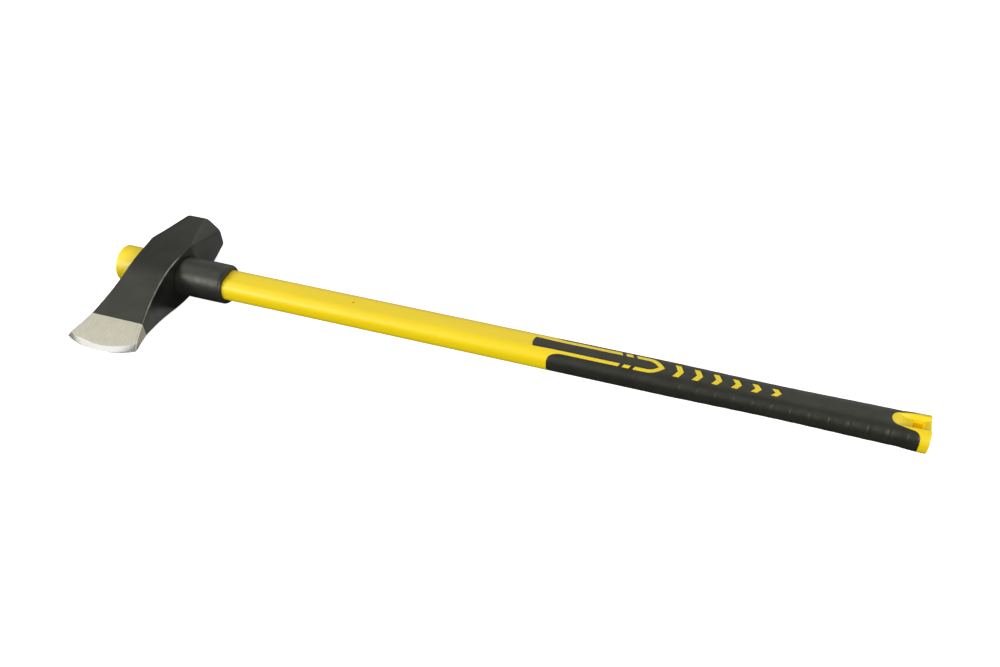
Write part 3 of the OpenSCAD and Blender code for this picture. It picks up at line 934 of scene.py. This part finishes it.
def collar_rings():
    """Rings back along the bore, round the root, along the outside and over the far face."""
    rings = [collar_ring(x, 0, 1, SEAL) for x in (COLLAR_END - 0.7, SHEET_FROM)]
    for t in steps(1, 0, 8)[1:]:
        x = NECK + (SHEET_FROM - NECK) * t
        rings.append(collar_ring(x, tenon_r(NECK) + FIT, float(smooth(t)), SEAL))
    rings.append(collar_ring(COLLAR_START, tenon_r(COLLAR_START) + FIT))
    for a in steps(0, math.pi / 2, 6):
        x = COLLAR_START + ROOT_ROUND * (1 - math.cos(a))
        rings.append(collar_ring(x, COLLAR_R - ROOT_ROUND * (1 - math.sin(a))))
    for x in steps(COLLAR_START + ROOT_ROUND, COLLAR_END - COLLAR_ROUND, 12)[1:]:
        rings.append(collar_ring(x, COLLAR_R))
    for a in steps(0, math.pi / 2, 7)[1:]:
        x = COLLAR_END - COLLAR_ROUND * (1 - math.sin(a))
        rings.append(collar_ring(x, COLLAR_R - COLLAR_ROUND * (1 - math.cos(a))))
    for share in (0.15, 0.5, 0.85, 0.97):
        dip = 0.25 * math.sin(math.pi * share)
        rings.append(collar_ring(COLLAR_END - dip, COLLAR_R - COLLAR_ROUND, share, 0.6))
    rings.append(collar_ring(COLLAR_END - 0.15, 0, 1, 0.3))
    return rings + rings[:1]


def make_collar(materials):
    """The rubber collar: a closed sleeve with rounded rims."""
    skin = Skin()
    skin.grid(collar_rings())
    place(skin.build("collar_rubber", materials, sharp_deg=60), "collar")


# ---- Materials ----

NOISE_SPAN = (0.35, 0.65)


class Shade:
    """A node material about a Principled shader, in the coordinates of the object."""

    def __init__(self, name, colour, roughness, **values):
        self.material = bpy.data.materials.new(name)
        self.material.use_nodes = True
        self.nodes = self.material.node_tree.nodes
        self.links = self.material.node_tree.links
        self.shader = self.nodes["Principled BSDF"]
        self.shader.inputs["Base Color"].default_value = (*colour, 1)
        self.shader.inputs["Roughness"].default_value = roughness
        for socket, value in values.items():
            self.shader.inputs[socket.replace("_", " ")].default_value = value
        self.coords = self.nodes.new("ShaderNodeTexCoord").outputs["Object"]
        self.normal = None

    def noise(self, scale, detail, stretch=(1, 1, 1)):
        """Noise with about scale features in each metre, stretched along the axes."""
        mapping = self.nodes.new("ShaderNodeMapping")
        mapping.inputs["Scale"].default_value = stretch
        self.links.new(self.coords, mapping.inputs["Vector"])
        texture = self.nodes.new("ShaderNodeTexNoise")
        texture.inputs["Scale"].default_value = scale
        texture.inputs["Detail"].default_value = detail
        self.links.new(mapping.outputs["Vector"], texture.inputs["Vector"])
        return texture.outputs["Fac"]

    def ramp(self, value, low, high):
        """A colour or a grey between low and high, as value goes over the noise's usual span."""
        node = self.nodes.new("ShaderNodeValToRGB")
        for element, place_at, colour in zip(node.color_ramp.elements, NOISE_SPAN, (low, high)):
            element.position = place_at
            element.color = (*colour, 1) if isinstance(colour, tuple) else (colour,) * 3 + (1,)
        self.links.new(value, node.inputs["Fac"])
        return node.outputs["Color"]

    def bump(self, height, strength, depth_mm):
        """Adds a bump of that depth over those added before."""
        node = self.nodes.new("ShaderNodeBump")
        node.inputs["Strength"].default_value = strength
        node.inputs["Distance"].default_value = depth_mm * MM
        self.links.new(height, node.inputs["Height"])
        if self.normal is not None:
            self.links.new(self.normal, node.inputs["Normal"])
        self.normal = node.outputs["Normal"]
        self.links.new(self.normal, self.shader.inputs["Normal"])

    def attribute(self, name):
        """A value that the mesh holds at its points."""
        node = self.nodes.new("ShaderNodeAttribute")
        node.attribute_name = name
        return node.outputs["Fac"]

    def mix(self, factor, a, b):
        """The colour a where factor is 0 and b where it is 1. Each is a fixed colour or a socket."""
        node = self.nodes.new("ShaderNodeMix")
        node.data_type = "RGBA"
        self.links.new(factor, node.inputs["Factor"])
        for socket, value in ((node.inputs[6], a), (node.inputs[7], b)):
            if isinstance(value, tuple):
                socket.default_value = (*value, 1)
            else:
                self.links.new(value, socket)
        return node.outputs[2]

    def drive(self, socket, value):
        self.links.new(value, self.shader.inputs[socket])

    def vary(self, socket, value, low, high):
        """Drives a socket between low and high."""
        self.drive(socket, self.ramp(value, low, high))


def head_paint():
    """Charcoal satin paint over a forging, rubbed thin along the edges of the cheeks, which are also
    lightened there as a painted highlight.
    """
    shade = Shade("head_paint", (0.012, 0.012, 0.0105), 0.33,
                  Specular_IOR_Level=0.42, Specular_Tint=(1, 1, 0.84, 1))
    mottled = shade.ramp(shade.noise(45, 4), (0.009, 0.009, 0.0078), (0.014, 0.014, 0.012))
    patches = shade.ramp(shade.noise(120, 5), 0.35, 1.0)
    # Along the marked edges the paint turns a light grey: partly rubbed paint, partly a painted highlight
    # on the edge.
    patchy = shade.mix(shade.attribute("wear_and_highlight"), (0, 0, 0), patches)
    shade.drive("Base Color", shade.mix(patchy, mottled, (0.24, 0.24, 0.21)))
    shade.vary("Roughness", shade.noise(60, 3), 0.3, 0.36)
    shade.bump(shade.noise(38, 2), 0.2, 0.5)
    shade.bump(shade.noise(500, 2), 0.1, 0.02)
    return shade.material


def ground_steel():
    """The ground faces of the bit, with fine grinding lines that run towards the edge."""
    shade = Shade("ground_steel", (0.56, 0.54, 0.44), 0.42, Metallic=1.0)
    lines = shade.noise(650, 3, (1.0, 0.05, 1.0))
    fine = shade.ramp(lines, (0.46, 0.44, 0.36), (0.67, 0.65, 0.53))
    brushed = shade.mix(shade.noise(70, 4), fine, (0.56, 0.54, 0.43))
    # Along the marked edges the steel turns lighter: partly wear, partly a painted highlight on the arris.
    shade.drive("Base Color", shade.mix(shade.attribute("wear_and_highlight"), brushed, (0.88, 0.84, 0.72)))
    shade.vary("Roughness", lines, 0.36, 0.48)
    shade.bump(lines, 0.3, 0.03)
    return shade.material


def honed_steel():
    """The honed bevel behind the cutting edge."""
    shade = Shade("honed_steel", (0.57, 0.56, 0.535), 0.25, Metallic=1.0)
    lines = shade.noise(1400, 3, (1.0, 0.12, 1.0))
    shade.vary("Base Color", lines, (0.51, 0.50, 0.475), (0.61, 0.60, 0.575))
    shade.vary("Roughness", lines, 0.2, 0.32)
    shade.bump(lines, 0.2, 0.02)
    return shade.material


def yellow_plastic():
    """Moulded yellow plastic with a faint grain."""
    shade = Shade("yellow_plastic", (0.84, 0.622, 0.004), 0.42)
    streaks = shade.noise(24, 3, (0.25, 1, 1))
    shade.vary("Base Color", streaks, (0.82, 0.607, 0.003), (0.86, 0.642, 0.006))
    shade.vary("Roughness", shade.noise(300, 3), 0.38, 0.46)
    shade.bump(shade.noise(60, 2, (0.3, 1, 1)), 0.15, 0.12)
    shade.bump(shade.noise(1500, 2), 0.2, 0.02)
    return shade.material


def slot_plastic_painted_glow():
    """The same plastic on the slot's walls, with subsurface scattering for light that seeps through and a
    faint painted glow that adds more of it.
    """
    # The emission is a painted glow: it lightens the slot's walls as if light shone through the plastic.
    shade = Shade("slot_plastic_painted_glow", (0.86, 0.66, 0.004), 0.45, Subsurface_Weight=1.0,
                  Subsurface_Radius=(1.0, 0.7, 0.03), Subsurface_Scale=0.015,
                  Emission_Color=(0.85, 0.52, 0.0, 1), Emission_Strength=0.2)
    shade.vary("Base Color", shade.noise(80, 3), (0.83, 0.63, 0.003), (0.88, 0.68, 0.005))
    return shade.material


def rubber(name, low, high, roughness):
    """Matt rubber with a fine moulded grain."""
    shade = Shade(name, low, roughness, Specular_IOR_Level=0.45, Specular_Tint=(1, 1, 0.84, 1))
    shade.vary("Base Color", shade.noise(60, 5), low, high)
    shade.vary("Roughness", shade.noise(250, 3), roughness - 0.05, roughness + 0.05)
    shade.bump(shade.noise(1300, 3), 0.5, 0.04)
    return shade.material


def clear_resin():
    """The resin ring in the eye, amber and a little uneven."""
    shade = Shade("eye_resin", (0.62, 0.56, 0.38), 0.3)
    shade.vary("Base Color", shade.noise(200, 3), (0.55, 0.49, 0.32), (0.7, 0.64, 0.46))
    shade.bump(shade.noise(500, 3), 0.4, 0.08)
    return shade.material


def glass_fibre():
    """The pultruded rod, with its fibres along the handle."""
    shade = Shade("glass_fibre", (0.8, 0.82, 0.7), 0.5)
    fibres = shade.noise(1200, 3, (0.03, 1, 1))
    shade.vary("Base Color", fibres, (0.66, 0.69, 0.55), (0.86, 0.88, 0.78))
    shade.bump(fibres, 0.4, 0.05)
    return shade.material


def pale_floor():
    """A white table with some light of its own."""
    shade = Shade("pale_floor", (0.8, 0.8, 0.8), 0.9, Specular_IOR_Level=0.0,
                  Emission_Color=(1, 1, 1, 1), Emission_Strength=0.8)
    shade.vary("Base Color", shade.noise(3, 2), 0.79, 0.81)
    return shade.material


# ---- Stage ----


def sheet_on_floor(name, low, high, height, material):
    """A level rectangle of the stage, from corner low to corner high."""
    mesh = bpy.data.meshes.new(name)
    corners = [(low[0], low[1]), (high[0], low[1]), (high[0], high[1]), (low[0], high[1])]
    mesh.from_pydata([(x, y, height) for x, y in corners], [], [(0, 1, 2, 3)])
    mesh.materials.append(material)
    sheet = bpy.data.objects.new(name, mesh)
    bpy.context.scene.collection.objects.link(sheet)
    sheet.visible_diffuse = False
    return sheet


def make_floor():
    """The table, and a black card under the collar that only the head's glossy side sees: a painted shadow
    that stands in for the collar's shade on the table and darkens the head's near side in reflection.
    """
    floor = sheet_on_floor("floor", (-6, -6), (6, 6), 0, pale_floor())
    floor.visible_glossy = False
    # A black sheet seen only in reflections: painted shade where the collar would shade the table.
    black = Shade("painted_shadow_card", (0.01, 0.01, 0.01), 0.9, Specular_IOR_Level=0.0)
    black.vary("Base Color", black.noise(3, 2), 0.009, 0.011)
    low, high = in_frame([(22, -30, 0), (120, 34, 0)])
    card = sheet_on_floor("painted_shadow_card", low, high, 0.0004, black.material)
    card.visible_camera = False
    card.visible_shadow = False


def area_light(name, place_at, target, size, power):
    """A white lamp, its size in metres and its power in watts."""
    data = bpy.data.lights.new(name, "AREA")
    data.shape = "RECTANGLE"
    data.size, data.size_y = size
    data.energy = power
    light = bpy.data.objects.new(name, data)
    light.location = place_at
    light.rotation_euler = (Vector(target) - Vector(place_at)).to_track_quat("-Z", "Y").to_euler()
    bpy.context.scene.collection.objects.link(light)


TENT_BACK = 1.02        # Brightness of the tent behind the maul
TENT_CORNER = 0.15      # In the corner behind the tenon
TENT_FRONT = 0.3        # In front of the maul
TENT_BELOW = 0.95       # Below the table's level at the back, where glossy undersides look
TENT_BELOW_FRONT = 0.1
HEAD_SIDE_SHARE = 0.15  # Share of it that comes from the side of the head


def make_world():
    """A soft white tent, bright behind the maul and dimmer in front of it and below it."""
    world = bpy.data.worlds.new("studio")
    world.use_nodes = True
    nodes, links = world.node_tree.nodes, world.node_tree.links
    split = nodes.new("ShaderNodeSeparateXYZ")
    links.new(nodes.new("ShaderNodeTexCoord").outputs["Generated"], split.inputs["Vector"])
    x, y, z = (split.outputs[axis] for axis in "XYZ")
    across = nodes.new("ShaderNodeMath")
    across.operation = "SUBTRACT"
    links.new(x, across.inputs[0])
    links.new(y, across.inputs[1])

    def fade(value, start, end, low, high):
        """Goes softly from low to high, numbers or sockets, as value goes from start to end."""
        node = nodes.new("ShaderNodeMapRange")
        node.interpolation_type = "SMOOTHSTEP"
        links.new(value, node.inputs["Value"])
        for socket, level in zip(("From Min", "From Max", "To Min", "To Max"), (start, end, low, high)):
            if isinstance(level, (int, float)):
                node.inputs[socket].default_value = level
            else:
                links.new(level, node.inputs[socket])
        return node.outputs["Result"]

    def from_below(share):
        """The light from below the table's level, times share."""
        back = fade(y, -0.2, 0.6, share * TENT_BELOW_FRONT, share * TENT_BELOW)
        return fade(across.outputs[0], -0.12, 0.02, back, 0.0)

    behind = fade(x, -0.65, -0.4, TENT_CORNER, TENT_BACK)
    sky = fade(y, -0.05, 0.6, TENT_FRONT, behind)
    below = fade(x, 0.1, 0.4, from_below(HEAD_SIDE_SHARE), from_below(1.0))
    links.new(fade(z, -0.1, 0.12, below, sky), nodes["Background"].inputs["Strength"])
    nodes["Background"].inputs["Color"].default_value = (1, 1, 1, 1)
    bpy.context.scene.world = world


def make_light():
    """The tent and four soft lamps."""
    make_world()
    area_light("left_softbox", (-1.69, -1.6, 1.1), (-0.3, 0, 0), (1.35, 1.0), 34)
    area_light("top_softbox", (-1.63, -0.07, 1.83), (-0.4, 0, 0), (1.5, 1.1), 7.7)
    area_light("right_fill", (3.8, -3.8, 1.6), (0, 0, 0), (2.4, 1.6), 225)
    area_light("tenon_fill", (-1.3, -0.58, 0.1), (-0.44, 0, 0.03), (0.4, 0.3), 1.5)
    bpy.context.scene.view_settings.view_transform = "Standard"


def make_camera():
    """A 36 mm lens on a 36 mm wide sensor, above the butt's side and in front of the edge."""
    right = Vector((0.9446, 0.3268, -0.0302)).normalized()
    back = Vector((0.2599, -0.6887, 0.6769)).normalized()
    up = back.cross(right).normalized()
    right = up.cross(back)
    data = bpy.data.cameras.new("camera")
    data.sensor_width = 36
    data.lens = 36
    camera = bpy.data.objects.new("camera", data)
    turn = Matrix((right, up, back)).transposed().to_4x4()
    camera.matrix_world = Matrix.Translation((0.293, -0.6978, 0.7584)) @ turn
    bpy.context.scene.collection.objects.link(camera)
    bpy.context.scene.camera = camera


# ---- The scene ----

make_camera()
make_light()
make_floor()
make_head([head_paint(), ground_steel(), honed_steel()])
quarter_sheet = handle_sheet()
make_jacket(*quarter_sheet, [yellow_plastic(), slot_plastic_painted_glow()])
make_grip(*quarter_sheet, [rubber("grip_rubber", (0.015, 0.015, 0.012), (0.021, 0.021, 0.017), 0.47)])
make_collar([rubber("collar_rubber", (0.016, 0.016, 0.015), (0.022, 0.022, 0.02), 0.41)])
for node, material in (("core_rod", glass_fibre()), ("eye_resin", clear_resin())):
    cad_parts[node].data.materials.clear()
    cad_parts[node].data.materials.append(material)
